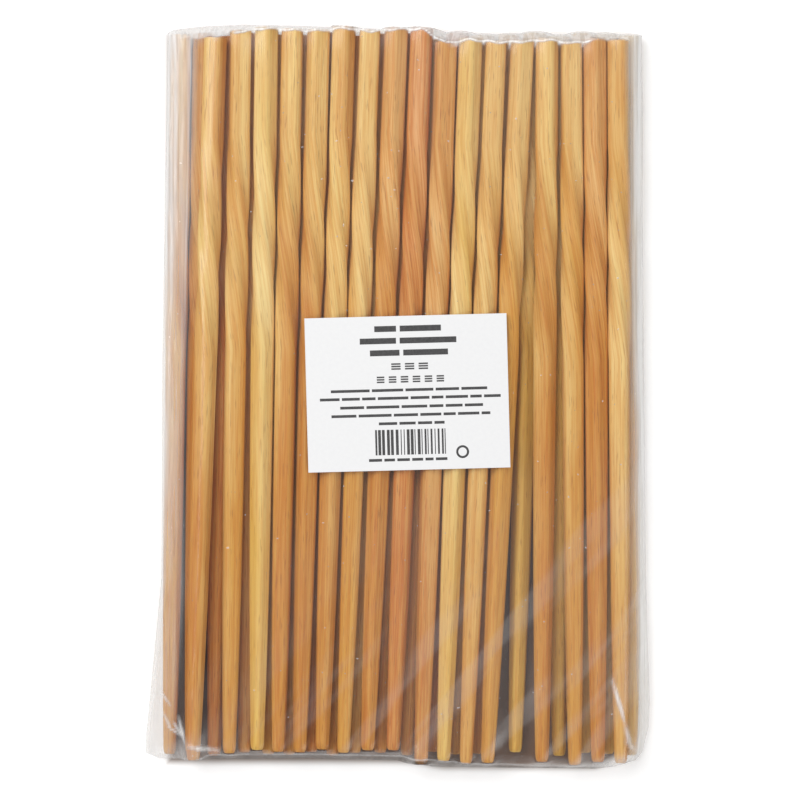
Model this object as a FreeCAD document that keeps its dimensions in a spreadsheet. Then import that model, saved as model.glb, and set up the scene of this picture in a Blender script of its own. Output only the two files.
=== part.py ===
import FreeCAD, Part
import math
import os
import Sketcher

# A sealed pack of thirty-six twisted bamboo chopsticks, in millimetres.
# The pack lies flat on z = 0, the thick ends of the sticks point to +Y and the label faces +Z.
# Nineteen sticks lie on the film, seventeen more lie in the grooves between them, and one clear
# film bag with a paper label on top holds them.

doc = FreeCAD.newDocument("chopstick_pack")

SIZES = [
    # One stick, measured from the thick end.
    ("stick_length", 235),
    ("stick_side", 6.6),
    ("stick_corner", 7.5),
    ("head_length", 34),
    ("twist_length", 70),
    ("twist_angle", 180),
    ("twist_ease", 0.2),
    ("shank_upper_length", 44),
    ("shank_upper_side", 6.2),
    ("shank_middle_length", 37),
    ("shank_middle_side", 5.6),
    ("shank_lower_length", 30),
    ("shank_lower_side", 4.7),
    ("tip_side", 3.9),
    ("tip_round_length", 2.5),
    ("tip_end_side", 3.0),
    # How the sticks lie. Neighbours in a layer are one spacing or more apart where they are
    # thick, and a top stick touches the lower ones but for the rest gap.
    ("spacing_gap", 0.5),
    ("rest_gap", 0.1),
    ("left_slide", -2),
    ("middle_slide", 1.4),
    ("right_slide", -2.4),
    ("slide_wave", 0.6),
    ("wave_step", 2.4),
    ("roll_step", 0.618),
    # The film bag around them. Its side margins are beyond the outermost sticks.
    ("film", 0.15),
    ("film_gap", 0.2),
    ("left_margin_heads", 1.0),
    ("left_margin_foot", 1.0),
    ("right_margin_heads", 1.0),
    ("right_margin_foot", 1.4),
    ("margin_tips", 4.3),
    ("head_margin", 3.0),
    ("tip_margin", 3.5),
    ("end_fold", 1.7),
    ("fold_height", 5),
    ("fold_inset", 5),
    ("fold_step", 1),
    ("shoulder_slack", 0.9),
    ("left_edge_share", 0.5),
    ("right_edge_share", 0.65),
    ("wall_height", 2.5),
    ("under_trim", 0.1),
    # The paper label.
    ("label_width", 65.5),
    ("label_height", 50),
    ("label_paper", 0.1),
    ("label_turn", 1.5),
    ("label_right", 3.2),
    ("label_up", 0.7),
]

# Where the sticks lie across the pack, from left to right: the head end and the tip of each, in
# spacings from the middle. The left sticks lean to the left with their tips, the four on the
# right stand straight, and wedges open between the two groups.
LOWER_STICKS = [
    (-8.86, -9.32), (-7.89, -8.41), (-6.91, -7.50), (-5.85, -6.26), (-4.79, -5.28),
    (-3.74, -4.43), (-2.68, -3.53), (-1.65, -2.66), (-0.57, -1.75), (0.49, -0.71),
    (1.48, 0.39), (2.46, 1.40), (3.49, 2.32), (4.55, 3.21), (5.61, 4.81),
    (6.58, 6.60), (7.54, 7.66), (8.49, 8.59), (9.45, 9.55),
]
TOP_STICKS = [
    (-7.40, -8.31), (-6.38, -6.85), (-5.32, -5.71), (-4.27, -4.85), (-3.21, -3.98),
    (-2.17, -3.07), (-1.12, -2.21), (-0.04, -1.22), (0.99, -0.18), (1.97, 0.95),
    (2.98, 1.87), (4.02, 2.78), (5.08, 3.66), (6.09, 5.87), (7.06, 7.21),
    (8.02, 8.15), (8.97, 9.08),
]

sheet = doc.addObject("Spreadsheet::Sheet", "Sizes")
layout = doc.addObject("Spreadsheet::Sheet", "Layout")
layout_names = []


def add_rows(target, rows):
    """Write names and their numbers or formulas under what the sheet already holds."""
    first = 1 if target is sheet else len(layout_names) + 1
    for row, (name, content) in enumerate(rows, first):
        target.set("A%d" % row, name)
        target.setAlias("B%d" % row, name)
        target.set("B%d" % row, "=" + content if isinstance(content, str) else str(content))
        if target is layout:
            layout_names.append(name)
    doc.recompute()


add_rows(sheet, SIZES)
add_rows(layout, [
    ("spacing", "Sizes.stick_corner + Sizes.spacing_gap"),
    ("radius", "Sizes.stick_corner / 2"),
    ("sealed_length", "Sizes.stick_length + Sizes.head_margin + Sizes.tip_margin"),
    ("bag_length", "sealed_length + 2 * Sizes.end_fold"),
    ("stick_middle", "(Sizes.tip_margin - Sizes.head_margin) / 2"),
    ("lining", "Sizes.film + Sizes.film_gap"),
    ("lower_axis", "lining + radius"),
    ("label_drop", "Sizes.label_width * sin(Sizes.label_turn * 1 deg)"),
    ("label_foot", "Sizes.label_height / 2 - Sizes.label_up + label_drop"),
])


def size(name):
    """A driving size or a layout value, by its name."""
    return float((layout if name in layout_names else sheet).get(name))


def new_sketch(body, name, role, height, turn="0 deg"):
    """A sketch on one of the body's own planes, lifted off it and turned in it."""
    sketch = body.newObject("Sketcher::SketchObject", name)
    plane = [feature for feature in body.Origin.OriginFeatures if feature.Role == role][0]
    sketch.AttachmentSupport = [(plane, "")]
    sketch.MapMode = "FlatFace"
    sketch.AttachmentOffset.Rotation.Axis = FreeCAD.Vector(0, 0, 1)
    sketch.setExpression(".AttachmentOffset.Rotation.Angle", turn)
    sketch.setExpression(".AttachmentOffset.Base.z", height)
    return sketch


def close_outline(sketch, corners):
    """Draw straight lines through the corners and join them end to end."""
    count = len(corners)
    for index, corner in enumerate(corners):
        sketch.addGeometry(Part.LineSegment(corner, corners[(index + 1) % count]), False)
    for index in range(count):
        sketch.addConstraint(Sketcher.Constraint("Coincident", index, 2, (index + 1) % count, 1))


def bind(sketch, kind, points, start, expression):
    """Add a dimension between points of a sketch and tie it to an expression."""
    index = sketch.addConstraint(Sketcher.Constraint(kind, *points, start))
    sketch.setExpression("Constraints[%d]" % index, expression)


# The section of a stick is a square with its corners cut off, 'corner' wide between two of the
# eight points that face each other.
def cut_square(side, corner, turn, height):
    flat = side / 2
    cut = math.sqrt((corner / 2) ** 2 - flat ** 2)
    cosine = math.cos(math.radians(turn))
    sine = math.sin(math.radians(turn))
    outline = [(flat, -cut), (flat, cut), (cut, flat), (-cut, flat),
               (-flat, cut), (-flat, -cut), (-cut, -flat), (cut, -flat)]
    return [FreeCAD.Vector(x * cosine - y * sine, x * sine + y * cosine, height) for x, y in outline]


def shank_stations():
    """Side and distance from the thick end of each section between the twist and the tip."""
    height = size("head_length") + size("twist_length")
    stations = []
    for stretch in ("shank_upper", "shank_middle", "shank_lower"):
        height += size(stretch + "_length")
        stations.append((size(stretch + "_side"), height))
    stations.append((size("tip_side"), size("stick_length") - size("tip_round_length")))
    stations.append((size("tip_end_side"), size("stick_length")))
    return stations


# Towards the tip the bar grows round, so the shank's sections are even octagons.
def octagon_corner(side):
    return side / math.cos(math.pi / 8)


def stick_sections():
    """The sections from the thick end, at z = 0, to the tip: head, left-handed twist, shank."""
    twist_steps = 11
    head = (size("stick_side"), size("stick_corner"))
    sections = [cut_square(*head, 0, 0)]
    for step in range(twist_steps + 1):
        share = step / twist_steps
        along = share + size("twist_ease") * math.sin(2 * math.pi * share) / (2 * math.pi)
        sections.append(cut_square(*head, -size("twist_angle") * share,
                                   size("head_length") + size("twist_length") * along))
    for side, height in shank_stations():
        sections.append(cut_square(side, octagon_corner(side), -size("twist_angle"), height))
    return sections


# Edges whose cross product is shorter than this run the same way.
PARALLEL = 1e-9


def flat_face(*corners):
    return Part.Face(Part.makePolygon(list(corners) + [corners[0]]))


def make_stick_form():
    """One stick along +Z, in flat facets between its sections. The facets of the twist are
    triangles, because the sections on either side of them are turned."""
    sections = stick_sections()
    faces = [flat_face(*sections[0]), flat_face(*sections[-1])]
    for near, far in zip(sections, sections[1:]):
        straight = (near[1] - near[0]).cross(far[1] - far[0]).Length < PARALLEL
        for here in range(len(near)):
            there = (here + 1) % len(near)
            if straight:
                faces.append(flat_face(near[here], near[there], far[there], far[here]))
            else:
                faces.append(flat_face(near[here], near[there], far[there]))
                faces.append(flat_face(near[here], far[there], far[here]))
    form = doc.addObject("Part::Feature", "stick_form")
    form.Shape = Part.makeSolid(Part.makeShell(faces))
    return form


# A bunch of sticks has slid a little along its neighbours, and each stick a little in its bunch.
def lower_slide(number):
    return size("slide_wave") * math.sin(size("wave_step") * number)


def top_slide(number):
    bunch = "left_slide" if number < 1 else "middle_slide" if number < 9 else "right_slide"
    return size(bunch) + size("slide_wave") * math.sin(size("wave_step") * (number + 1))


# The sticks are turned at random. Steps of the golden ratio spread their turns evenly over the
# quarter turn after which the section repeats.
def roll_of(number):
    return 90 * ((number * size("roll_step")) % 1)


def head_end_of(slide):
    """How far the thick end is towards +Y."""
    return size("stick_middle") + size("stick_length") / 2 + slide


def across_at(place, slide, y):
    """How far to the right a stick's axis is at y. 'place' is where its two ends are."""
    share = (head_end_of(slide) - y) / size("stick_length")
    return (place[0] + (place[1] - place[0]) * share) * size("spacing")


def corner_at(slide, y):
    """The width of a stick over its corners at y."""
    station = head_end_of(slide) - y
    known = [(size("stick_corner"), size("head_length") + size("twist_length"))]
    known += [(octagon_corner(side), height) for side, height in shank_stations()]
    for (near_corner, near), (far_corner, far) in zip(known, known[1:]):
        if near < station <= far:
            return near_corner + (far_corner - near_corner) * (station - near) / (far - near)
    return known[0][0] if station <= known[0][1] else known[-1][0]


def resting_axis(place, slide):
    """How high a top stick's axis lies: as low as the lower sticks let it, looked at every
    hundredth of its length."""
    looks = 100
    highest = 0
    for look in range(looks + 1):
        y = head_end_of(slide) - size("stick_length") * look / looks
        for number, other in enumerate(LOWER_STICKS):
            aside = across_at(place, slide, y) - across_at(other, lower_slide(number), y)
            apart = (corner_at(slide, y) + corner_at(lower_slide(number), y)) / 2 + size("rest_gap")
            if abs(aside) < apart:
                highest = max(highest, math.sqrt(apart ** 2 - aside ** 2))
    return size("lower_axis") + highest


top_axes = [resting_axis(place, top_slide(number)) for number, place in enumerate(TOP_STICKS)]

# What the bag goes round: the highest stick, and how far out the outermost axes and the side
# walls are at the head end, at the label's lower edge and at the tips.
stations = {"heads": size("sealed_length") / 2, "foot": -size("label_foot"),
            "tips": -size("sealed_length") / 2}
add_rows(layout, [("top_axis", max(top_axes)),
                  ("bag_height", "top_axis + radius + lining"),
                  ("tip_height", "top_axis + Sizes.shank_lower_side / 2 + lining"),
                  ("shoulder_reach", "(radius + Sizes.shoulder_slack) / sqrt(2)")])
for spot, y in stations.items():
    add_rows(layout, [
        ("left_lower_" + spot, -across_at(LOWER_STICKS[0], 0, y)),
        ("right_lower_" + spot, across_at(LOWER_STICKS[-1], 0, y)),
        ("left_top_" + spot, -across_at(TOP_STICKS[0], 0, y)),
        ("right_top_" + spot, across_at(TOP_STICKS[-1], 0, y)),
    ])
add_rows(layout, [
    ("left_side_heads", "left_lower_heads + radius + Sizes.left_margin_heads"),
    ("right_side_heads", "right_lower_heads + radius + Sizes.right_margin_heads"),
    ("left_side_foot", "left_lower_foot + radius + Sizes.left_margin_foot"),
    ("right_side_foot", "right_lower_foot + radius + Sizes.right_margin_foot"),
    ("left_side_tips", "left_lower_tips + radius + Sizes.margin_tips"),
    ("right_side_tips", "left_side_tips"),
])


def lay_stick(form, name, place, axis, slide, roll):
    """Copy the stick form, roll it about its axis and lay it along -Y between its two ends."""
    stick = doc.addObject("Part::Feature", name)
    stick.Label = name
    stick.Shape = form.Shape.copy()
    lean = math.degrees(math.asin((place[0] - place[1]) * size("spacing") / size("stick_length")))
    own_roll = FreeCAD.Rotation(FreeCAD.Vector(0, 0, 1), roll)
    lay_down = FreeCAD.Rotation(FreeCAD.Vector(1, 0, 0), 90)
    lean_left = FreeCAD.Rotation(FreeCAD.Vector(0, 0, 1), -lean)
    head_end = FreeCAD.Vector(place[0] * size("spacing"), head_end_of(slide), axis)
    stick.Placement = FreeCAD.Placement(head_end, lean_left * lay_down * own_roll)
    return stick


def lay_lower_layer(form):
    return [lay_stick(form, "lower_stick_%02d" % (number + 1), place, size("lower_axis"),
                      lower_slide(number), roll_of(number))
            for number, place in enumerate(LOWER_STICKS)]


def lay_top_layer(form):
    half_step = 0.4
    return [lay_stick(form, "top_stick_%02d" % (number + 1), place, top_axes[number],
                      top_slide(number), roll_of(number + half_step))
            for number, place in enumerate(TOP_STICKS)]


def bag_section(body, name, spot, station, height, wall, inset="0", low="Sizes.wall_height"):
    """The film seen from its end, 'wall' inside the outer face. 'spot' names the place whose
    widths it takes, 'station' is along +Y."""
    sketch = new_sketch(body, name, "XZ_Plane", "-(%s) * 1 mm" % station)
    shoulder_height = "min(Layout.lower_axis + Layout.shoulder_reach; %s - Sizes.fold_step) - %s" % (
        height, wall)
    outline = []
    # The outside starts a little below the plane that the pack lies on, and is trimmed to it.
    foot = "-Sizes.under_trim" if wall == "0" else wall
    for hand in ("left", "right"):
        side = "(Layout.%s_side_%s - %s - %s)" % (hand, spot, inset, wall)
        shoulder = "min(Layout.%s_lower_%s + Layout.shoulder_reach; %s - Sizes.fold_step) - %s" % (
            hand, spot, side, wall)
        edge = "Layout.%s_top_%s + Layout.radius * Sizes.%s_edge_share - %s" % (hand, spot, hand, wall)
        half = [(side, foot), (side, low), (shoulder, shoulder_height),
                (edge, "%s - %s" % (height, wall))]
        outline += half if hand == "left" else half[::-1]
    wide, tall = size("left_side_tips"), size("bag_height")
    start = -0.1 if wall == "0" else 0.1
    rough = [(-wide, start), (-wide, 2), (-wide * 0.9, tall / 2), (-wide * 0.8, tall),
             (wide * 0.8, tall), (wide * 0.9, tall / 2), (wide, 2), (wide, start)]
    close_outline(sketch, [FreeCAD.Vector(x, z, 0) for x, z in rough])
    for index, (x, z) in enumerate(outline):
        points = (index, 1, -1, 1) if rough[index][0] < 0 else (-1, 1, index, 1)
        bind(sketch, "DistanceX", points, abs(rough[index][0]), x)
        bind(sketch, "DistanceY", (-1, 1, index, 1), rough[index][1], z)
    return sketch


def bag_loft(body, kind, name, wall):
    """A closed form of the bag: low folds at both ends, a flat top under the label, a lower tip end."""
    end = "Layout.bag_length / 2"
    sealed = "Layout.sealed_length / 2"
    sections = [
        bag_section(body, name + "_head_fold", "heads", "%s - %s" % (end, wall), "Sizes.fold_height",
                    wall, inset="Sizes.fold_inset", low="Sizes.wall_height / 2"),
        bag_section(body, name + "_heads", "heads", "%s - %s" % (sealed, wall), "Layout.bag_height", wall),
        bag_section(body, name + "_label_foot", "foot", "-Layout.label_foot", "Layout.bag_height", wall),
        bag_section(body, name + "_tips", "tips", "-(%s - %s)" % (sealed, wall), "Layout.tip_height", wall),
        bag_section(body, name + "_tip_fold", "tips", "-(%s - %s)" % (end, wall), "Sizes.fold_height",
                    wall, inset="Sizes.fold_inset", low="Sizes.wall_height / 2"),
    ]
    loft = body.newObject(kind, name)
    loft.Profile = sections[0]
    loft.Sections = [(section, [""]) for section in sections[1:]]
    loft.Ruled = True
    return loft


def rectangle_on(sketch, wide, tall):
    """A rectangle round the sketch's origin."""
    close_outline(sketch, [FreeCAD.Vector(x, y, 0) for x, y in ((-9, -9), (9, -9), (9, 9), (-9, 9))])
    for line in (0, 2):
        sketch.addConstraint(Sketcher.Constraint("Horizontal", line))
        sketch.addConstraint(Sketcher.Constraint("Vertical", line + 1))
    sketch.addConstraint(Sketcher.Constraint("Symmetric", 0, 1, 2, 1, -1, 1))
    bind(sketch, "DistanceX", (0, 1, 0, 2), 18, wide)
    bind(sketch, "DistanceY", (1, 1, 1, 2), 18, tall)


def make_bag():
    body = doc.addObject("PartDesign::Body", "film_bag")
    bag_loft(body, "PartDesign::AdditiveLoft", "outside", "0")
    doc.recompute()
    ground = new_sketch(body, "ground", "XY_Plane", "0 mm")
    rectangle_on(ground, "Layout.bag_length", "Layout.bag_length")
    trim = body.newObject("PartDesign::Pocket", "flat_underside")
    trim.Profile = ground
    trim.setExpression("Length", "2 * Sizes.under_trim")
    doc.recompute()
    body.Tip = bag_loft(body, "PartDesign::SubtractiveLoft", "inside", "Sizes.film")
    doc.recompute()
    return body


def make_label():
    """A rectangle of paper that lies on the film, slightly turned."""
    body = doc.addObject("PartDesign::Body", "paper_label")
    sketch = new_sketch(body, "label_outline", "XY_Plane", "Layout.bag_height", "Sizes.label_turn * 1 deg")
    sketch.setExpression(".AttachmentOffset.Base.x", "Sizes.label_right")
    sketch.setExpression(".AttachmentOffset.Base.y", "Sizes.label_up")
    rectangle_on(sketch, "Sizes.label_width", "Sizes.label_height")
    paper = body.newObject("PartDesign::Pad", "paper")
    paper.Profile = sketch
    paper.setExpression("Length", "Sizes.label_paper")
    body.Tip = paper
    return body


form = make_stick_form()
pieces = lay_lower_layer(form) + lay_top_layer(form) + [make_bag(), make_label()]
doc.recompute()
for item in doc.Objects:
    if "Invalid" in item.State or "Error" in item.State:
        raise RuntimeError("%s failed: %s" % (item.Name, item.State))
for piece in pieces:
    if piece.Shape.isNull() or not piece.Shape.isValid() or len(piece.Shape.Solids) != 1:
        raise RuntimeError("%s is not one valid solid" % piece.Label)
os.makedirs("parts", exist_ok=True)
for piece in pieces:
    piece.Shape.exportStep("parts/%s.step" % piece.Label)
print("stick %.0f mm3, film %.0f mm3" % (form.Shape.Volume, pieces[-2].Shape.Volume))
print("pack", pieces[-2].Shape.BoundBox)
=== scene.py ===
import bpy
import math
import numpy
import random
from mathutils import Matrix, Vector
from mathutils.bvhtree import BVHTree


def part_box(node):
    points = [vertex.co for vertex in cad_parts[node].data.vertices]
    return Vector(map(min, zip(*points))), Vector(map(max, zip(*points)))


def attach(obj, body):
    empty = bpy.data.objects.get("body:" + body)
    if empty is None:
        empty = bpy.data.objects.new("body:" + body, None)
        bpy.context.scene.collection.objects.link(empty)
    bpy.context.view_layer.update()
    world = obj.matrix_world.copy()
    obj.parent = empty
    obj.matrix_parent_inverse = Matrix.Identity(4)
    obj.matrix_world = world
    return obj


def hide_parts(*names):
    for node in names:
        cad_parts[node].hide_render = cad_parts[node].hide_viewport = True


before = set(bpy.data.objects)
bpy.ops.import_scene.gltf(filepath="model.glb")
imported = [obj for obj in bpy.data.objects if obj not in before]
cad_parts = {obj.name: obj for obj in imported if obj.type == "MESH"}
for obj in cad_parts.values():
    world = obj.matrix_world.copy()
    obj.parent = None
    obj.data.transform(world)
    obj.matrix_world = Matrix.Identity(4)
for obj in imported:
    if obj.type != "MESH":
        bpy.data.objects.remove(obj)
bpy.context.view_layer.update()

# The camera hangs straight above the pack. The middle of the photo's frame is a little to the
# right of the pack's middle and a little towards the tips, and 800 pixels cover 260 mm.
camera_height, stick_level, frame_width = 1.25, 0.012, 0.26
bpy.ops.object.select_all(action="DESELECT")
bpy.ops.object.camera_add(location=(0.0008, -0.0016, camera_height))
camera = bpy.context.object
camera.name = "camera"
camera.data.sensor_width = 36
camera.data.lens = 36 * (camera_height - stick_level) / frame_width
bpy.context.scene.camera = camera

# The pack lies on plain white paper, in a light tent: a soft box over the head ends' left corner,
# a weaker one opposite, and an even glow all round. The paper keeps the pack's shadow, and right
# under the sticks, where hardly any light gets, it is painted dark brown: painted shade.
bpy.ops.mesh.primitive_plane_add(size=6)
paper_floor = bpy.context.object
paper_floor.name = "paper_floor"
paper_floor.location.z = -0.0003
bpy.ops.object.transform_apply(location=True, rotation=True, scale=True)
floor_look = bpy.data.materials.new("white_paper_floor")
floor_look.use_nodes = True
nodes, links = floor_look.node_tree.nodes, floor_look.node_tree.links


def reckon(operation, first, second=None, third=None):
    """One Math node; an input is another node's output or a plain number."""
    node = nodes.new("ShaderNodeMath")
    node.operation = operation
    for socket, value in zip(node.inputs, (first, second, third)):
        if hasattr(value, "links"):
            links.new(value, socket)
        elif value is not None:
            socket.default_value = value
    return node.outputs[0]


def fade(value, start, end, low=0.0, high=1.0, kind="SMOOTHSTEP"):
    """From low at start to high at end, in a soft step, or in a straight line with LINEAR."""
    node = nodes.new("ShaderNodeMapRange")
    node.interpolation_type = kind
    links.new(value, node.inputs["Value"])
    for socket, number in (("From Min", start), ("From Max", end),
                           ("To Min", low), ("To Max", high)):
        node.inputs[socket].default_value = number
    return node.outputs["Result"]


def blend(share, first, second, kind="MIX"):
    """A mix of two colours; each is another node's output or plain numbers."""
    node = nodes.new("ShaderNodeMix")
    node.data_type = "RGBA"
    node.blend_type = kind
    links.new(share, node.inputs[0])
    for socket, value in ((node.inputs[6], first), (node.inputs[7], second)):
        if hasattr(value, "links"):
            links.new(value, socket)
        else:
            socket.default_value = value
    return node.outputs[2]


place = nodes.new("ShaderNodeTexCoord")
parts = nodes.new("ShaderNodeSeparateXYZ")
links.new(place.outputs["Object"], parts.inputs["Vector"])
# The part of the floor that the sticks cover, in metres: its straight sides, its straight head
# end, and its tips' end, which steps out a little and then turns round the right corner.
stack_middle, stack_half_width, heads_end = 0.0015, 0.0755, 0.1163
off_middle = reckon("ABSOLUTE", reckon("SUBTRACT", parts.outputs["X"], stack_middle))
beside = reckon("SUBTRACT", off_middle, stack_half_width)
past_heads = reckon("SUBTRACT", parts.outputs["Y"], heads_end)
tips_end = reckon("SUBTRACT", fade(parts.outputs["X"], 0.004, 0.016, 0.1193, 0.1213),
                  fade(parts.outputs["X"], 0.064, 0.077, 0, 0.006))
past_tips = reckon("SUBTRACT", reckon("MULTIPLY", parts.outputs["Y"], -1), tips_end)
past_ends = reckon("MAXIMUM", past_heads, past_tips)
open_paper = fade(reckon("MAXIMUM", beside, past_ends), -0.001, 0.003)
seen_by = nodes.new("ShaderNodeLightPath")
seen = reckon("MAXIMUM", reckon("MAXIMUM", seen_by.outputs["Is Camera Ray"],
                                seen_by.outputs["Is Glossy Ray"]),
              seen_by.outputs["Is Transmission Ray"])
floor_shader = nodes["Principled BSDF"]
floor_shader.inputs["Roughness"].default_value = 0.9
floor_shader.inputs["Emission Color"].default_value = (1, 1, 1, 1)
links.new(reckon("MULTIPLY", reckon("MULTIPLY", seen, 0.3), open_paper),
          floor_shader.inputs["Emission Strength"])
# Painted shade: under the sticks the paper's colour is dark brown instead of white, and it has no
# glow there.
links.new(blend(open_paper, (0.17, 0.09, 0.05, 1), (0.86, 0.86, 0.86, 1)),
          floor_shader.inputs["Base Color"])
paper_floor.data.materials.append(floor_look)

tent = bpy.data.worlds.new("light_tent")
bpy.context.scene.world = tent
tent.use_nodes = True
nodes, links = tent.node_tree.nodes, tent.node_tree.links
glow = nodes["Background"]
glow.inputs["Color"].default_value = (1, 1, 1, 1)
seen_by = nodes.new("ShaderNodeLightPath")
links.new(fade(seen_by.outputs["Is Camera Ray"], 0, 1, 0.38, 1, "LINEAR"),
          glow.inputs["Strength"])

# Each lamp: its place, the side of its square face in metres, and its watts.
for name, place, width, power in (("soft_box_left", (-0.7, 0.55, 1.2), 1.3, 17),
                                  ("soft_box_right", (0.9, -0.5, 1.1), 0.9, 5.5)):
    bpy.ops.object.light_add(type="AREA", location=place)
    lamp = bpy.context.object
    lamp.name = name
    lamp.data.size = width
    lamp.data.energy = power
    lamp.rotation_euler = (-Vector(place)).to_track_quat("-Z", "Y").to_euler()

bpy.context.scene.view_settings.view_transform = "Standard"


# Bamboo sticks. A bar of bamboo is planed square with soft corners, its middle is twisted half a
# turn to the left, and the shank is turned down and rounded towards the tip. One stick is drawn
# out ring by ring from its head end, and every stick of the pack is a copy of it.
bpy.ops.object.select_all(action="DESELECT")
head_side = 6.6
bpy.ops.mesh.primitive_plane_add(size=head_side / 1000, rotation=(math.radians(90), 0, 0))
model_stick = bpy.context.object
model_stick.name = "model_stick"
bpy.ops.object.transform_apply(location=True, rotation=True, scale=True)
bpy.ops.object.mode_set(mode="EDIT")
bpy.ops.mesh.select_all(action="SELECT")
bpy.ops.mesh.bevel(affect="VERTICES", offset=0.0019, segments=5)

drawn = 0.0
width_now, stick_length = head_side, 235
twist_start, twist_length, twist_rings = 34, 70, 24


def twist_station(share):
    """Where a share of the half turn is done, in mm: it eases in and out."""
    return twist_start + twist_length * (share + 0.2 * math.sin(2 * math.pi * share)
                                         / (2 * math.pi))


def draw_out(station, turn=0.0, width=None, round_off=0.0):
    """Pull the open end on to a station, in mm from the head end, then turn, size and round it."""
    global drawn, width_now
    step = (station - drawn) / 1000
    bpy.ops.mesh.extrude_region_move(TRANSFORM_OT_translate={"value": (0, -step, 0)})
    drawn = station
    middle = (0, -station / 1000, 0)
    if turn:
        bpy.ops.transform.rotate(value=-math.radians(turn), orient_axis="Y", center_override=middle)
    if width:
        ratio = width / width_now
        bpy.ops.transform.resize(value=(ratio, 1, ratio), center_override=middle)
        width_now = width
    if round_off:
        bpy.ops.transform.tosphere(value=round_off, center_override=middle)


draw_out(12)
draw_out(24)
draw_out(twist_start)
for step in range(1, twist_rings + 1):
    draw_out(twist_station(step / twist_rings), turn=180 / twist_rings)
# The shank: each ring's station, its side in mm, and how much it is rounded off.
for station, width, round_off in ((110, 6.58, 0.05), (118, 6.5, 0.08), (128, 6.4, 0.1),
                                  (138, 6.3, 0.1), (148, 6.2, 0.15), (160, 6.0, 0.15),
                                  (172, 5.8, 0.2), (185, 5.6, 0.25), (200, 5.15, 0.3),
                                  (215, 4.7, 0.4), (224, 4.3, 0.5), (232.5, 3.9, 0.6),
                                  (233.7, 3.7, 0.5), (234.5, 3.4, 0.5), (stick_length, 2.8, 0.5)):
    draw_out(station, width=width, round_off=round_off)
bpy.ops.mesh.select_all(action="SELECT")
bpy.ops.mesh.normals_make_consistent(inside=False)
bpy.ops.mesh.select_all(action="DESELECT")
bpy.ops.object.mode_set(mode="OBJECT")
for edge in model_stick.data.edges:
    edge.select = all(abs(model_stick.data.vertices[end].co.y) < 1e-6 for end in edge.vertices)
bpy.ops.object.mode_set(mode="EDIT")
bpy.ops.mesh.select_mode(type="EDGE")
bpy.ops.mesh.bevel(affect="EDGES", offset=0.0003, segments=2)
bpy.ops.object.mode_set(mode="OBJECT")
bpy.ops.object.shade_smooth_by_angle(angle=math.radians(40))
evened = model_stick.modifiers.new("even_flats", "WEIGHTED_NORMAL")
evened.keep_sharp = True
bpy.ops.object.modifier_apply(modifier=evened.name)

# The fibres follow the twist, so each point keeps its place from before it: across the bar, along
# it from the head end, and up. Across, the wood goes from the pale inside of the cane to its rind.
twist_shares = [step / twist_rings for step in range(1, twist_rings + 1)]
ring_stations = [0, twist_start] + [twist_station(share) for share in twist_shares]
ring_turns = [0, 0] + [math.pi * share for share in twist_shares]
points = numpy.empty(len(model_stick.data.vertices) * 3)
model_stick.data.vertices.foreach_get("co", points)
points = points.reshape(-1, 3)
turned = numpy.interp(-points[:, 1] * 1000, ring_stations, ring_turns)
fibre_places = numpy.stack([points[:, 0] * numpy.cos(turned) - points[:, 2] * numpy.sin(turned),
                            -points[:, 1],
                            points[:, 0] * numpy.sin(turned) + points[:, 2] * numpy.cos(turned)],
                           axis=1)
rind = model_stick.data.attributes.new("rind", "FLOAT", "POINT")
rind.data.foreach_set("value", numpy.clip(fibre_places[:, 0] * 2000 / head_side, -1, 1))
model_stick.data.attributes.new("fibre", "FLOAT_VECTOR", "POINT")


def paint(red, green, blue):
    """A colour as a screen shows it, 0 to 255, as the shader's own numbers."""
    return tuple(((part / 255 + 0.055) / 1.055) ** 2.4 if part > 10 else part / 3295
                 for part in (red, green, blue)) + (1,)


grain = bpy.data.node_groups.new("bamboo_grain", "ShaderNodeTree")
for name in ("Streaks", "Clouds", "Pores", "Relief", "Shank"):
    grain.interface.new_socket(name, in_out="OUTPUT", socket_type="NodeSocketFloat")
nodes, links = grain.nodes, grain.links
grain_out = nodes.new("NodeGroupOutput")
fibre_place = nodes.new("ShaderNodeAttribute")
fibre_place.attribute_name = "fibre"


def lengthwise_noise(across, along, detail, low, high):
    """Noise whose cells are 'across' by 'along' millimetres, spread out between low and high."""
    mapping = nodes.new("ShaderNodeMapping")
    mapping.inputs["Scale"].default_value = (1000 / across, 1000 / along, 1000 / across)
    links.new(fibre_place.outputs["Vector"], mapping.inputs["Vector"])
    noise = nodes.new("ShaderNodeTexNoise")
    noise.inputs["Scale"].default_value = 1
    noise.inputs["Detail"].default_value = detail
    links.new(mapping.outputs["Vector"], noise.inputs["Vector"])
    return fade(noise.outputs["Fac"], low, high, kind="LINEAR")


fine = lengthwise_noise(0.5, 24, 3, 0.42, 0.59)
broad = lengthwise_noise(2.2, 80, 2, 0.38, 0.62)
both = nodes.new("ShaderNodeMix")
both.inputs["Factor"].default_value = 0.35
links.new(fine, both.inputs["A"])
links.new(broad, both.inputs["B"])
links.new(both.outputs["Result"], grain_out.inputs["Streaks"])
links.new(lengthwise_noise(9, 38, 2, 0.3, 0.7), grain_out.inputs["Clouds"])
pores = lengthwise_noise(0.4, 7, 1, 0.62, 0.7)
links.new(pores, grain_out.inputs["Pores"])
links.new(reckon("SUBTRACT", fine, pores), grain_out.inputs["Relief"])
fibre_parts = nodes.new("ShaderNodeSeparateXYZ")
links.new(fibre_place.outputs["Vector"], fibre_parts.inputs["Vector"])
links.new(fade(fibre_parts.outputs["Y"], 0.03, 0.2), grain_out.inputs["Shank"])


def bumped(height, strength, distance):
    """The surface's normal, tilted by a pattern of heights; the distance is in metres."""
    node = nodes.new("ShaderNodeBump")
    node.inputs["Strength"].default_value = strength
    node.inputs["Distance"].default_value = distance
    links.new(height, node.inputs["Height"])
    return node.outputs["Normal"]


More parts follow.
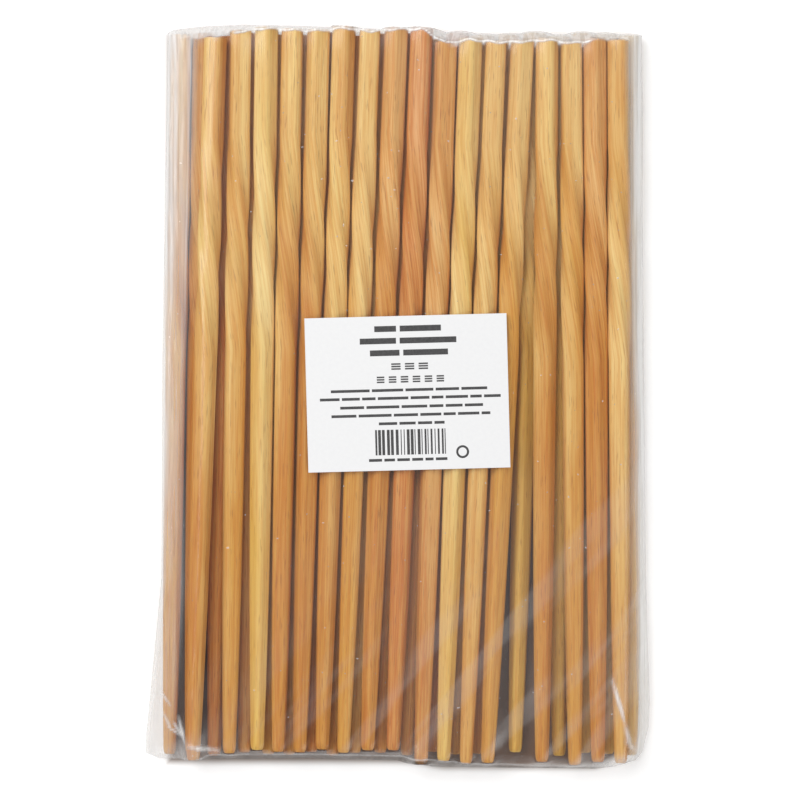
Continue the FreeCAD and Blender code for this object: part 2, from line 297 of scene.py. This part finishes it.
# Each cane and each batch in the steamer has its own tone. The colour of the flat head, the deeper
# colour of the shank, that of the pores, and how strongly the streaks show.
bamboo_tones = {}
for tone, head_colour, shank_colour, pore, streaks in (
        ("pale", (242, 214, 144), (229, 186, 90), (160, 98, 48), 0.6),
        ("honey", (238, 204, 132), (217, 161, 70), (150, 86, 42), 0.75),
        ("golden", (236, 201, 125), (209, 147, 62), (142, 78, 36), 0.8),
        ("amber", (230, 184, 115), (213, 152, 68), (135, 72, 36), 0.95),
        ("russet", (224, 166, 104), (212, 147, 68), (128, 64, 34), 1.1)):
    look = bpy.data.materials.new("bamboo_" + tone)
    look.use_nodes = True
    nodes, links = look.node_tree.nodes, look.node_tree.links
    shader = nodes["Principled BSDF"]
    shader.inputs["Specular IOR Level"].default_value = 0.3
    pattern = nodes.new("ShaderNodeGroup")
    pattern.node_tree = grain
    side = nodes.new("ShaderNodeAttribute")
    side.attribute_name = "rind"
    depth = fade(side.outputs["Fac"], -1, 1, -0.62, 0.28, "LINEAR")
    cloud_share = reckon("MULTIPLY_ADD", pattern.outputs["Clouds"], 0.5, depth)
    shank_share = reckon("ADD", pattern.outputs["Shank"], cloud_share)
    shank_share.node.use_clamp = True
    wood = blend(shank_share, paint(*head_colour), paint(*shank_colour))
    streaked = blend(reckon("MULTIPLY", pattern.outputs["Streaks"], streaks), wood,
                     (0.85, 0.6, 0.39, 1), "MULTIPLY")
    pored = blend(reckon("MULTIPLY", pattern.outputs["Pores"], 0.36), streaked, paint(*pore))
    links.new(pored, shader.inputs["Base Color"])
    links.new(fade(pattern.outputs["Streaks"], 0, 1, 0.42, 0.6, "LINEAR"),
              shader.inputs["Roughness"])
    links.new(bumped(pattern.outputs["Relief"], 0.25, 0.0001), shader.inputs["Normal"])
    bamboo_tones[tone] = look

# The tones of the two layers from left to right. The lower one mostly shows in the gaps. Its wood
# tones are mostly darker ones as painted shade for the gaps, and its last five on the right are
# pale as painted light, where those sticks lie higher.
TOP_TONES = ("golden honey pale golden golden golden honey amber russet amber pale honey honey "
             "golden honey amber honey").split()
LOWER_TONES = ("honey amber russet amber honey amber russet amber honey amber amber russet honey "
               "golden pale pale pale pale pale").split()
chance = random.Random(7)
stick_lines = []
stack_points, stack_faces = [], []
for name, node in sorted(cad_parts.items()):
    if "_stick_" not in name:
        continue
    corners = numpy.array([point.co for point in node.data.vertices])
    head_ring = numpy.unique(corners[corners[:, 1] > corners[:, 1].max() - 0.001].round(6), axis=0)
    tip_ring = numpy.unique(corners[corners[:, 1] < corners[:, 1].min() + 0.001].round(6), axis=0)
    head, tip = Vector(head_ring.mean(axis=0)), Vector(tip_ring.mean(axis=0))
    back = (head - tip).normalized()
    right = back.cross(Vector((0, 0, 1))).normalized()
    lay = Matrix((right, back, right.cross(back))).transposed()
    # The head's eight corners tell how the stick is rolled, up to a quarter turn.
    spokes = [lay.transposed() @ (Vector(corner) - head) for corner in head_ring]
    turns = [4 * math.atan2(spoke.z, spoke.x) for spoke in spokes]
    roll = math.atan2(-sum(map(math.sin, turns)), -sum(map(math.cos, turns))) / 4
    roll += math.pi / 2 * chance.randrange(4)
    number = int(name[-2:]) - 1
    tones = TOP_TONES if name.startswith("top") else LOWER_TONES
    stick = model_stick.copy()
    stick.data = model_stick.data.copy()
    stick.name = "bamboo_" + name
    bpy.context.scene.collection.objects.link(stick)
    stick.data.transform(Matrix.Translation(head) @ lay.to_4x4() @ Matrix.Rotation(-roll, 4, "Y"))
    # A piece of its own of the pattern, and the wood of the batch that it came from.
    other_place = (chance.uniform(0, 1), 0, chance.uniform(0, 1))
    stick.data.attributes["fibre"].data.foreach_set("vector", (fibre_places + other_place).ravel())
    stick.data.materials.append(bamboo_tones[tones[number % len(tones)]])
    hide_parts(name)
    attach(stick, "root")
    stick_lines.append((head * 1000, tip * 1000, name.startswith("top")))
    first = len(stack_points)
    stack_points += [point.co.copy() for point in stick.data.vertices]
    stack_faces += [[first + corner for corner in face.vertices] for face in stick.data.polygons]
bpy.data.objects.remove(model_stick)


# Film bag. A tube of thin clear film, slipped over the layers, folded down and welded at both
# ends. It spans the sticks from ridge to ridge, and hangs loose and wrinkled at the sides.
def close_steps(*runs):
    """How far each line of the film's grid lies from its edge, from runs of (lines, step) in mm."""
    return numpy.cumsum([0.0] + [step for count, step in runs for line in range(count)])


# The fine lines beside each edge, and then as many coarser ones in between.
left_lines, right_lines = close_steps((30, 0.45)), close_steps((28, 0.5))
head_lines, tip_lines = close_steps((17, 0.3)), close_steps((12, 0.3), (34, 0.65))
columns, rows = len(left_lines) + len(right_lines) + 150, len(head_lines) + len(tip_lines) + 122
bpy.ops.object.select_all(action="DESELECT")
bpy.ops.mesh.primitive_grid_add(x_subdivisions=columns - 1, y_subdivisions=rows - 1, size=2)
film_bag = bpy.context.object
film_bag.name = "clear_film"


def spaced(count, start, end, near_start, near_end):
    """Lines between two edges: close together beside each of them, and evenly spread between."""
    inner = numpy.linspace(0, 1, count - len(near_start) - len(near_end) + 2)[1:-1]
    first, last = start + near_start[-1], end - near_end[-1]
    return numpy.concatenate([start + near_start, first + inner * (last - first),
                              end - near_end[::-1]])


# The bag's outline from above, in mm: its left and right edge by y, its ends by x.
left_y, left_x = zip((-123, -80.0), (-120, -82.0), (-117, -82.6), (-112, -82.4), (-86, -79.8),
                     (-60, -77.3), (-30, -76.2), (40, -75.6), (105, -75.2), (112, -74.6),
                     (118, -72.6), (121, -70), (123, -66))
right_y, right_x = zip((-123, 74.0), (-121, 77.0), (-117, 80.2), (-109, 82.2), (-100, 82.6),
                       (-78, 81.8), (-54, 81.2), (60, 80.2), (97, 80.4), (105, 80.0),
                       (114, 78.6), (118.5, 77), (123, 74))
head_x, head_y = zip((-84, 118.4), (-66, 120.6), (-52, 121.3), (-31, 120.8), (0, 119.6),
                     (23, 118.2), (40, 117.0), (52, 117.1), (63, 118.0), (76, 118.0), (84, 117.5))
tip_x, tip_y = zip((-84, -116.5), (-78, -119.0), (-65, -119.2), (-30, -118.9), (0, -119.6),
                   (12, -121.6), (30, -121.9), (57, -122.2), (65, -122.3), (72, -121.6),
                   (78, -119.5), (84, -115))


def bag_edges(x, y):
    """The outline at each point, which also keeps about a millimetre away from every stick."""
    left, right = numpy.interp(y, left_y, left_x), numpy.interp(y, right_y, right_x)
    at_head, at_tip = numpy.interp(x, head_x, head_y), numpy.interp(x, tip_x, tip_y)
    for head, tip, on_top in stick_lines:
        station = numpy.clip(head.y - y, 0, stick_length)
        middle = head.x + (tip.x - head.x) * station / stick_length
        half = numpy.interp(station, (0, 110, 148, 185, stick_length), (3.8, 3.8, 3.3, 3.0, 2.2))
        drawn_in = 2 * numpy.clip(numpy.maximum(y - head.y, tip.y - y) - 1, 0, None)
        left = numpy.minimum(left, middle - half - 0.6 + drawn_in)
        right = numpy.maximum(right, middle + half + 0.6 - drawn_in)
        at_head = numpy.maximum(at_head, head.y + 1.0 - 0.03 * (x - head.x) ** 2)
        at_tip = numpy.minimum(at_tip, tip.y - 1.0 + 0.03 * (x - tip.x) ** 2)
    return left, right, at_head, at_tip


# The outline is read at the grid's points and moves them, so both settle in three rounds.
x = numpy.tile(numpy.linspace(-80, 80, columns), (rows, 1))
y = numpy.tile(numpy.linspace(-120, 120, rows)[:, None], (1, columns))
for attempt in range(3):
    left_edge, right_edge, head_edge, tip_edge = bag_edges(x, y)
    x = numpy.array([spaced(columns, left_edge[row, 0], right_edge[row, -1],
                            left_lines, right_lines) for row in range(rows)])
    y = numpy.array([spaced(rows, tip_edge[0, column], head_edge[-1, column],
                            tip_lines, head_lines) for column in range(columns)]).T
from_left, from_right = x - x[:, :1], x[:, -1:] - x
from_head, from_tip = y[-1:] - y, y - y[:1]
from_side = numpy.minimum(from_left, from_right)

# What the film lies on: the sticks, looked down on at each point, and the label's underside. The
# label's place and size, and the gap that the film keeps to a stick, are in mm.
label_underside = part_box("paper_label")[0].z
label_middle_x, label_middle_y, label_width, label_height = 3.2, 0.7, 65.5, 50
turn = math.radians(1.5)
film_gap = 0.12
stack = BVHTree.FromPolygons(stack_points, stack_faces)
support = numpy.full(x.shape, 0.3)
for row in range(rows):
    for column in range(columns):
        hit = stack.ray_cast(Vector((x[row, column], y[row, column], 50)) / 1000, (0, 0, -1))[0]
        if hit:
            support[row, column] = hit.z * 1000
clearance = support.copy()
for down in (-1, 0, 1):
    for over in (-1, 0, 1):
        clearance = numpy.maximum(clearance, numpy.roll(support, (down, over), axis=(0, 1)))
label_x = (x - label_middle_x) * math.cos(turn) + (y - label_middle_y) * math.sin(turn)
label_y = (y - label_middle_y) * math.cos(turn) - (x - label_middle_x) * math.sin(turn)
under_label = (numpy.abs(label_x) < label_width / 2 + 0.45) \
    & (numpy.abs(label_y) < label_height / 2 + 0.4)
ceiling = label_underside * 1000 - 0.02
clearance = numpy.minimum(numpy.where(under_label, ceiling, clearance + film_gap), ceiling)

# Taut film: every point goes to the mean of its neighbours, but never into a stick. The rim, where
# the upper and the lower film meet, is half way up the lower sticks, and lower where it flares out.
rim = 3.0 + 0.35 * numpy.sin(x * 0.21 + y * 0.05) * numpy.sin(y * 0.13) \
    - 1.5 * numpy.exp(-((x + 83) / 12) ** 2 - ((y + 114) / 20) ** 2) \
    - 0.8 * numpy.exp(-((x - 83) / 10) ** 2 - ((y + 112) / 20) ** 2)
height = numpy.maximum(clearance, rim)
inner = (slice(1, -1), slice(1, -1))
gap_left, gap_right = x[1:-1, 1:-1] - x[1:-1, :-2], x[1:-1, 2:] - x[1:-1, 1:-1]
gap_tip, gap_head = y[1:-1, 1:-1] - y[:-2, 1:-1], y[2:, 1:-1] - y[1:-1, 1:-1]
pull_across, pull_along = 1 / (gap_left + gap_right), 1 / (gap_tip + gap_head)
pull_sum = pull_across * (1 / gap_left + 1 / gap_right) + pull_along * (1 / gap_tip + 1 / gap_head)
height[0], height[-1], height[:, 0], height[:, -1] = rim[0], rim[-1], rim[:, 0], rim[:, -1]
for relaxing in range(600):
    mean = (pull_across * (height[1:-1, :-2] / gap_left + height[1:-1, 2:] / gap_right)
            + pull_along * (height[:-2, 1:-1] / gap_tip + height[2:, 1:-1] / gap_head)) / pull_sum
    height[inner] = numpy.maximum(mean, clearance[inner])


def within(value, limit, soft):
    """1 where a value is below its limit and 0 above it, with a soft change in between."""
    return 1 / (1 + numpy.exp((value - limit) / soft))


# Slack: small upright wrinkles down both loose sides, soft slanting folds at the lower right, and
# sharp creases, each from one point to another in mm with its width and height.
to_rim = numpy.clip(numpy.minimum(from_side, numpy.minimum(from_head, from_tip)) / 1.5, 0, 1)
side_slack = numpy.exp(-(from_side / 5) ** 2)
wrinkle = 0.3 * numpy.sin(x * 3.1 + 1.6 * numpy.sin(y * 0.11)) \
    + 0.25 * numpy.sin(x * 1.7 - y * 0.35 + numpy.sin(y * 0.23))
lower_right = within(75, x * 0.6 - y, 12)
soft_folds = 0.3 * numpy.maximum(numpy.sin(x * 0.2 - y * 0.17 + numpy.sin(y * 0.07)), 0) ** 2
height += to_rim * (side_slack * wrinkle + lower_right * soft_folds)
creased = numpy.zeros(x.shape)
for start, end, width, rise in (((-77.6, -96.3), (-73.6, -101.9), 0.5, 0.4),
                                ((-76.7, -103.2), (-73.6, -109.4), 0.6, 0.5),
                                ((-73.3, -106.2), (-69.2, -111.8), 0.6, 0.6),
                                ((-71.4, -104.4), (-68.9, -114.3), 0.5, 0.5),
                                ((-75.8, -107.5), (-70.8, -110.6), 0.5, 0.4),
                                ((-69.2, -114.3), (-58.3, -115.6), 0.8, 0.3),
                                ((69.7, -92.6), (74.0, -107.0), 0.55, 0.4),
                                ((74.0, -107.0), (75.9, -115.4), 0.7, 0.5),
                                ((74.2, -112.4), (81.0, -119.0), 0.6, 0.4)):
    run = numpy.subtract(end, start)
    share = numpy.clip(((x - start[0]) * run[0] + (y - start[1]) * run[1]) / (run @ run), 0, 1)
    off = numpy.hypot(x - start[0] - share * run[0], y - start[1] - share * run[1])
    ridge = numpy.exp(-(off / width) ** 2) * numpy.sin(math.pi * (0.1 + 0.8 * share))
    height += rise * ridge * to_rim
    creased = numpy.maximum(creased, ridge)
height = numpy.minimum(numpy.maximum(height, clearance), ceiling)
height[0], height[-1], height[:, 0], height[:, -1] = rim[0], rim[-1], rim[:, 0], rim[:, -1]
film_bag.data.vertices.foreach_set("co", numpy.stack([x, y, height], axis=2).ravel() / 1000)

# How milky the film is: at its loose sides and ends, over the gap beside the first lower stick, and
# in its creases, partly from the crease's own whiteness and partly as painted highlight. A painted
# highlight runs along the fold over the sticks' head ends, with a nick in each gap, and another
# along the tips, with a band of painted shade beyond it.
tops = sorted((head.x, head.y) for head, tip, on_top in stick_lines if on_top)
fold_y = numpy.interp(x, *zip(*tops)) + 0.25 * numpy.sin(x * 0.9)
in_fold = numpy.clip((x + 54) / 2, 0, 1) * numpy.clip((66 - x) / 4, 0, 1)
# Painted highlight: a white line along the fold over the head ends, and a short white nick in each
# gap between heads.
fold_highlight = numpy.exp(-((y - fold_y + 0.45) / 0.42) ** 2) * in_fold
for (first_x, first_y), (next_x, next_y) in zip(tops, tops[1:]):
    nick_y = (first_y + next_y) / 2 - 1.1
    fold_highlight += 0.7 * numpy.exp(-((x - (first_x + next_x) / 2) / 0.45) ** 2
                                   - ((y - nick_y) / 0.7) ** 2) * in_fold
beyond_heads = 0.6 * within(fold_y - 0.1, y, 0.2)
milky_left = numpy.interp(y, (-80, 20, 105), (1.2, 3.2, 5.0))
left_milk = 0.74 * within(from_left, milky_left, 0.9)
veiled_left = numpy.interp(y, (-110, -20, 105), (9.0, 7.0, 9.7))
left_veil = numpy.interp(y, (-80, 0, 105), (0.22, 0.32, 0.38)) * within(from_left, veiled_left, 0.7)
gap_veil = numpy.interp(y, (-20, 30, 105), (0, 0.4, 0.55)) \
    * numpy.exp(-((from_left - numpy.interp(y, (30, 105), (7.3, 7.95))) / 0.8) ** 2)
milky_right = numpy.interp(y, (-110, -60, 105), (4.0, 2.8, 4.2))
right_milk = numpy.interp(y, (-118, -80, -40), (0.55, 0.7, 0.88)) \
    * within(from_right, milky_right, 0.75)
corner_milk = 0.35 * within(from_tip, 6, 1.5) * within(x, -66, 2)
lowest_milk = 0.4 * within(from_tip, 4 - numpy.clip((70 - x) / 6, 0, 9), 0.8) * (x > 40)
milk = numpy.maximum.reduce([left_milk, left_veil, gap_veil, right_milk, beyond_heads,
                             corner_milk, lowest_milk])
# Painted highlight: a white line along the tips. Beyond it, painted shade: a greyish-brown band.
tip_band = numpy.interp(x, (-70, -60, 0, 12, 25, 40, 84), (0.5, 1.9, 1.9, 2.8, 1.8, 1.1, 1.2))
tip_highlight = 0.45 * numpy.exp(-((from_tip - tip_band) / 0.3) ** 2)
painted_tip_shade = 0.6 * within(from_tip, tip_band - 0.35, 0.12) * within(-66, x, 1.5) \
    * within(x, 68, 2)
# The creases' milk is partly the creased film's own whiteness and partly painted highlight.
milk = numpy.clip(numpy.maximum.reduce([milk, 0.75 * creased, 0.95 * fold_highlight, tip_highlight,
                                        painted_tip_shade]), 0, 1)
# Painted light: within about 8 mm of the right edge the haze colour is made brighter.
right_painted_light = within(from_right, 8, 1.5)
for name, values in (("milk", milk), ("shade", numpy.clip(painted_tip_shade * 2, 0, 1)),
                     ("slack", lower_right), ("double", right_painted_light)):
    film_bag.data.attributes.new(name, "FLOAT", "POINT").data.foreach_set("value", values.ravel())

# The underside: a copy of the sheet that lies flat under the sticks, joined on at the edges.
bpy.ops.object.select_all(action="DESELECT")
film_under = film_bag.copy()
film_under.data = film_bag.data.copy()
bpy.context.scene.collection.objects.link(film_under)
to_edge = numpy.minimum(from_side, numpy.minimum(from_head, from_tip))
under = 0.05 + (rim - film_gap) * numpy.clip(1 - to_edge / 2.2, 0, 1) ** 2
film_under.data.vertices.foreach_set("co", numpy.stack([x, y, under], axis=2).ravel() / 1000)
film_under.data.attributes["milk"].data.foreach_set("value", milk.ravel() * 0.4)
film_under.select_set(True)
film_bag.select_set(True)
bpy.context.view_layer.objects.active = film_bag
bpy.ops.object.join()
bpy.ops.object.mode_set(mode="EDIT")
bpy.ops.mesh.select_mode(type="EDGE")
bpy.ops.mesh.select_all(action="DESELECT")
bpy.ops.mesh.select_non_manifold(extend=False, use_wire=False, use_boundary=True,
                                 use_multi_face=False, use_non_contiguous=False, use_verts=False)
bpy.ops.mesh.bridge_edge_loops()
bpy.ops.mesh.select_all(action="SELECT")
bpy.ops.mesh.normals_make_consistent(inside=False)
bpy.ops.object.mode_set(mode="OBJECT")
bpy.ops.object.shade_smooth_by_angle(angle=math.radians(60))

# Clear film with a faint gloss. Where it is loose or crinkled it turns milky, and milky marks are
# also painted highlights, sheen and glints. Its haze is painted lighter along the right side, and
# the band beyond the tips is greyish brown as painted shade.
film_look = bpy.data.materials.new("clear_crinkled_film")
film_look.use_nodes = True
nodes, links = film_look.node_tree.nodes, film_look.node_tree.links
nodes.remove(nodes["Principled BSDF"])
output = nodes["Material Output"]
place = nodes.new("ShaderNodeTexCoord")


def film_noise(cells, detail, slant=0.0):
    """Noise with cells of so many mm in x, y and z, turned by slant degrees."""
    mapping = nodes.new("ShaderNodeMapping")
    mapping.vector_type = "TEXTURE"
    mapping.inputs["Rotation"].default_value = (0, 0, math.radians(slant))
    mapping.inputs["Scale"].default_value = [cell / 1000 for cell in cells]
    links.new(place.outputs["Object"], mapping.inputs["Vector"])
    noise = nodes.new("ShaderNodeTexNoise")
    noise.inputs["Scale"].default_value = 1
    noise.inputs["Detail"].default_value = detail
    links.new(mapping.outputs["Vector"], noise.inputs["Vector"])
    return noise.outputs["Fac"]


def film_value(name):
    """One of the values that the film has at each of its points."""
    node = nodes.new("ShaderNodeAttribute")
    node.attribute_name = name
    return node.outputs["Fac"]


upright = fade(film_noise((1.2, 45, 5), 2), 0.38, 0.62, 0.75, 1.12)
# Painted sheen: soft lighter bands slanting across the lower right, where the film is slack.
slanting = fade(film_noise((9, 70, 40), 2, -40), 0.47, 0.62, 0, 0.09)
# Painted glints: rare small bright specks scattered over the film.
painted_glints = fade(film_noise((1, 1, 1), 0), 0.845, 0.88, 0, 0.4)
thin_haze = fade(film_noise((110, 140, 110), 3), 0.42, 0.75, 0.0, 0.05)
veil = reckon("MULTIPLY_ADD", film_value("milk"), upright,
              reckon("MULTIPLY_ADD", film_value("slack"), slanting,
                     reckon("MAXIMUM", thin_haze, painted_glints)))
# Painted light: along the right side the haze is (1, 0.985, 0.96) instead of (0.9, 0.885, 0.87).
pale_haze = blend(film_value("double"), (0.9, 0.885, 0.87, 1), (1, 0.985, 0.96, 1))
haze = nodes.new("ShaderNodeBsdfDiffuse")
# The greyish-brown colour, set by the 'shade' values, is painted shade beyond the tips.
links.new(blend(film_value("shade"), pale_haze, paint(96, 82, 70)), haze.inputs["Color"])
clear = nodes.new("ShaderNodeBsdfTransparent")
milk_mix = nodes.new("ShaderNodeMixShader")
links.new(veil, milk_mix.inputs["Fac"])
links.new(clear.outputs["BSDF"], milk_mix.inputs[1])
links.new(haze.outputs["BSDF"], milk_mix.inputs[2])
crinkle = bumped(film_noise((7.7, 22, 7.7), 4), 0.35, 0.0004)
shine = nodes.new("ShaderNodeBsdfGlossy")
shine.inputs["Roughness"].default_value = 0.24
links.new(crinkle, shine.inputs["Normal"])
facing = nodes.new("ShaderNodeLayerWeight")
facing.inputs["Blend"].default_value = 0.5
links.new(crinkle, facing.inputs["Normal"])
mirror = reckon("MULTIPLY_ADD", reckon("POWER", facing.outputs["Facing"], 4), 0.5, 0.05)
film_mix = nodes.new("ShaderNodeMixShader")
links.new(mirror, film_mix.inputs["Fac"])
links.new(milk_mix.outputs["Shader"], film_mix.inputs[1])
links.new(shine.outputs["BSDF"], film_mix.inputs[2])
links.new(film_mix.outputs["Shader"], output.inputs["Surface"])
film_bag.data.materials.append(film_look)
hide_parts("film_bag")
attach(film_bag, "root")


# Paper label. A cut sheet of white paper, glued flat on the film, and slightly turned. It is
# modelled straight at the middle, and turned and moved on to the film with its print.
bpy.ops.object.select_all(action="DESELECT")
bpy.ops.mesh.primitive_grid_add(x_subdivisions=44, y_subdivisions=34, size=1)
label = bpy.context.object
label.name = "white_label"
label.scale = (label_width / 1000, label_height / 1000, 1)
bpy.ops.object.transform_apply(location=True, rotation=True, scale=True)
bpy.ops.object.mode_set(mode="EDIT")
bpy.ops.mesh.select_all(action="SELECT")
bpy.ops.mesh.extrude_region_move(TRANSFORM_OT_translate={"value": (0, 0, 0.00007)})
bpy.ops.mesh.select_all(action="SELECT")
bpy.ops.mesh.normals_make_consistent(inside=False)
bpy.ops.object.mode_set(mode="OBJECT")
bpy.ops.object.shade_smooth_by_angle(angle=math.radians(30))
label_look = bpy.data.materials.new("white_label_paper")
label_look.use_nodes = True
nodes, links = label_look.node_tree.nodes, label_look.node_tree.links
shader = nodes["Principled BSDF"]
shader.inputs["Roughness"].default_value = 0.55
place = nodes.new("ShaderNodeTexCoord")
fibre = nodes.new("ShaderNodeTexNoise")
fibre.inputs["Scale"].default_value = 900
fibre.inputs["Detail"].default_value = 4
links.new(place.outputs["Object"], fibre.inputs["Vector"])
links.new(blend(fibre.outputs["Fac"], paint(243, 243, 243), paint(236, 236, 237)),
          shader.inputs["Base Color"])
links.new(bumped(fibre.outputs["Fac"], 0.1, 0.00005), shader.inputs["Normal"])
label.data.materials.append(label_look)
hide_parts("paper_label")
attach(label, "root")

# The label's print stands for words and a code without being any: dashes of word length in rows,
# a block of upright bars and a plain ring, all of thin black ink that lies on the paper.
bpy.ops.object.select_all(action="DESELECT")
bpy.ops.mesh.primitive_circle_add(vertices=32, radius=0.0021, fill_type="NGON",
                                  location=(0.0174, -0.0195, 0.00003))
label_print = bpy.context.object
label_print.name = "label_print"
bpy.ops.object.transform_apply(location=True, rotation=True, scale=True)
bpy.ops.object.mode_set(mode="EDIT")
bpy.ops.mesh.select_all(action="SELECT")
bpy.ops.mesh.inset(thickness=0.0007)
bpy.ops.mesh.delete(type="FACE")
bpy.ops.mesh.select_all(action="SELECT")
bpy.ops.mesh.extrude_region_move(TRANSFORM_OT_translate={"value": (0, 0, 0.00007)})


def ink(left, low, width, tall):
    """A flat bar of ink on the label, in mm from the label's middle."""
    bpy.ops.mesh.primitive_cube_add(size=1, scale=(width / 1000, tall / 1000, 0.00007),
                                    location=((left + width / 2) / 1000,
                                              (low + tall / 2) / 1000, 0.000065))


# Each row: its middle, its left and right end, the height of its dashes, the shortest and the
# longest dash, and how many strokes each is made of.
for middle, left, right, tall, shortest, longest, strokes in (
        (20.9, -10.2, 11.4, 1.9, 7, 11, 1), (17, -15, 16.3, 1.9, 11, 15, 1),
        (13.1, -11.8, 13.5, 1.9, 9, 13, 1), (8.8, -5, 6.9, 2.4, 3, 3, 3),
        (4.6, -9.8, 12, 2.4, 2.45, 2.45, 3), (1, -24.8, 25.9, 0.9, 4, 13, 1),
        (-1.6, -28.4, 30.2, 0.9, 3, 10, 1), (-4.4, -21.9, 24.4, 0.9, 4, 11, 1),
        (-7.1, -24.8, 26.7, 0.9, 3, 11, 1), (-9.8, -9.5, 11.8, 0.9, 4, 8, 1),
        (-21.6, -13, 12.4, 0.9, 2, 5, 1)):
    while left < right - 0.1:
        dash = chance.uniform(shortest, longest)
        if right - left - dash < shortest:
            dash = right - left
        for stroke in range(strokes):
            ink(left, middle + tall * (stroke / strokes - 0.5), dash,
                tall if strokes == 1 else 0.62 * tall / strokes)
        left += dash + 0.35 + tall * 0.45
bar_at = -10.8
while bar_at < 12.2:
    bar = 0.3 * chance.randrange(1, 4)
    ink(bar_at, -20, bar, 8.2)
    bar_at += bar + 0.35 * chance.randrange(1, 3)
bpy.ops.mesh.select_all(action="SELECT")
bpy.ops.mesh.normals_make_consistent(inside=False)
bpy.ops.object.mode_set(mode="OBJECT")
ink_look = bpy.data.materials.new("black_printing_ink")
ink_look.use_nodes = True
nodes, links = ink_look.node_tree.nodes, ink_look.node_tree.links
shader = nodes["Principled BSDF"]
shader.inputs["Roughness"].default_value = 0.5
place = nodes.new("ShaderNodeTexCoord")
worn = nodes.new("ShaderNodeTexNoise")
worn.inputs["Scale"].default_value = 1400
worn.inputs["Detail"].default_value = 2
links.new(place.outputs["Object"], worn.inputs["Vector"])
links.new(blend(worn.outputs["Fac"], paint(38, 37, 38), paint(84, 83, 84)),
          shader.inputs["Base Color"])
label_print.data.materials.append(ink_look)
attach(label_print, "root")
for sheet in (label, label_print):
    sheet.data.transform(Matrix.Translation((label_middle_x / 1000, label_middle_y / 1000,
                                             label_underside))
                         @ Matrix.Rotation(turn, 4, "Z"))
